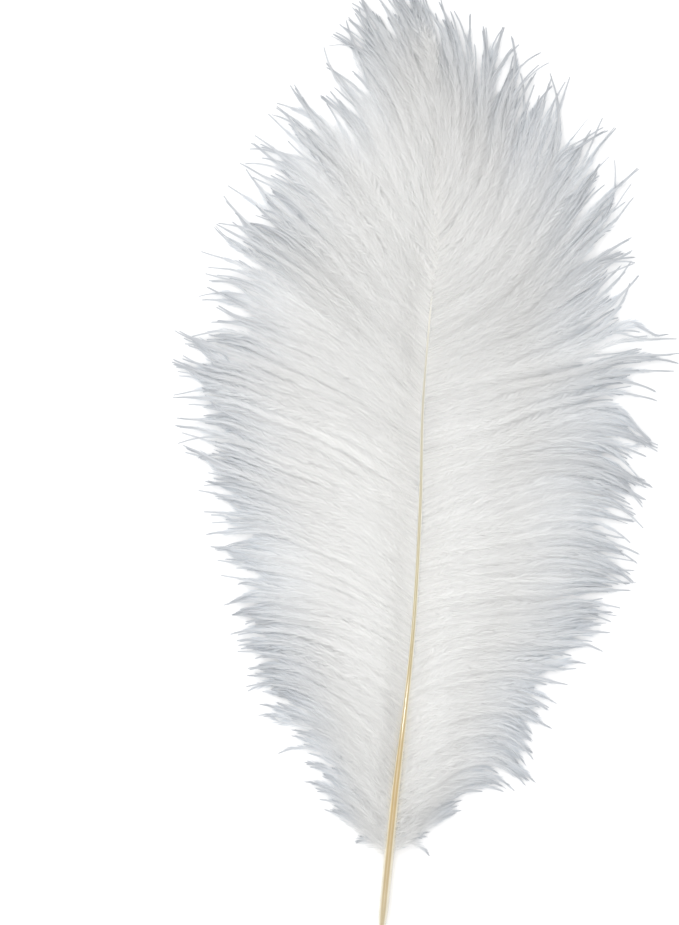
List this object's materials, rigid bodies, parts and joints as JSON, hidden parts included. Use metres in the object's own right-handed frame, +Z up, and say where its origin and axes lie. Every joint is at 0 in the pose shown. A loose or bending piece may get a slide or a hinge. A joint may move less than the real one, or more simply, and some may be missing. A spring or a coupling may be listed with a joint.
{
  "type": "ostrich feather",
  "caption": "White ostrich plume lying flat: a tapering honey-coloured shaft with a bare quill end, between two broad vanes of long, limp, fluffy barbs.",
  "frame": {"origin": "middle of the plume's bounding box, on the surface that it lies on", "axes": "+Y from the quill's end to the plume's tip, +Z up out of the surface, +X to the right as seen from above"},
  "size_m": [0.2272, 0.456, 0.0118],
  "materials": {
    "horn": "satin horn, honey at the quill and cream towards the tip",
    "down": "soft white down, slightly grey at the tips"
  },
  "bodies": {
    "root": {"shaft": "horn", "vane_left": "down", "vane_right": "down"}
  },
  "joints": []
}
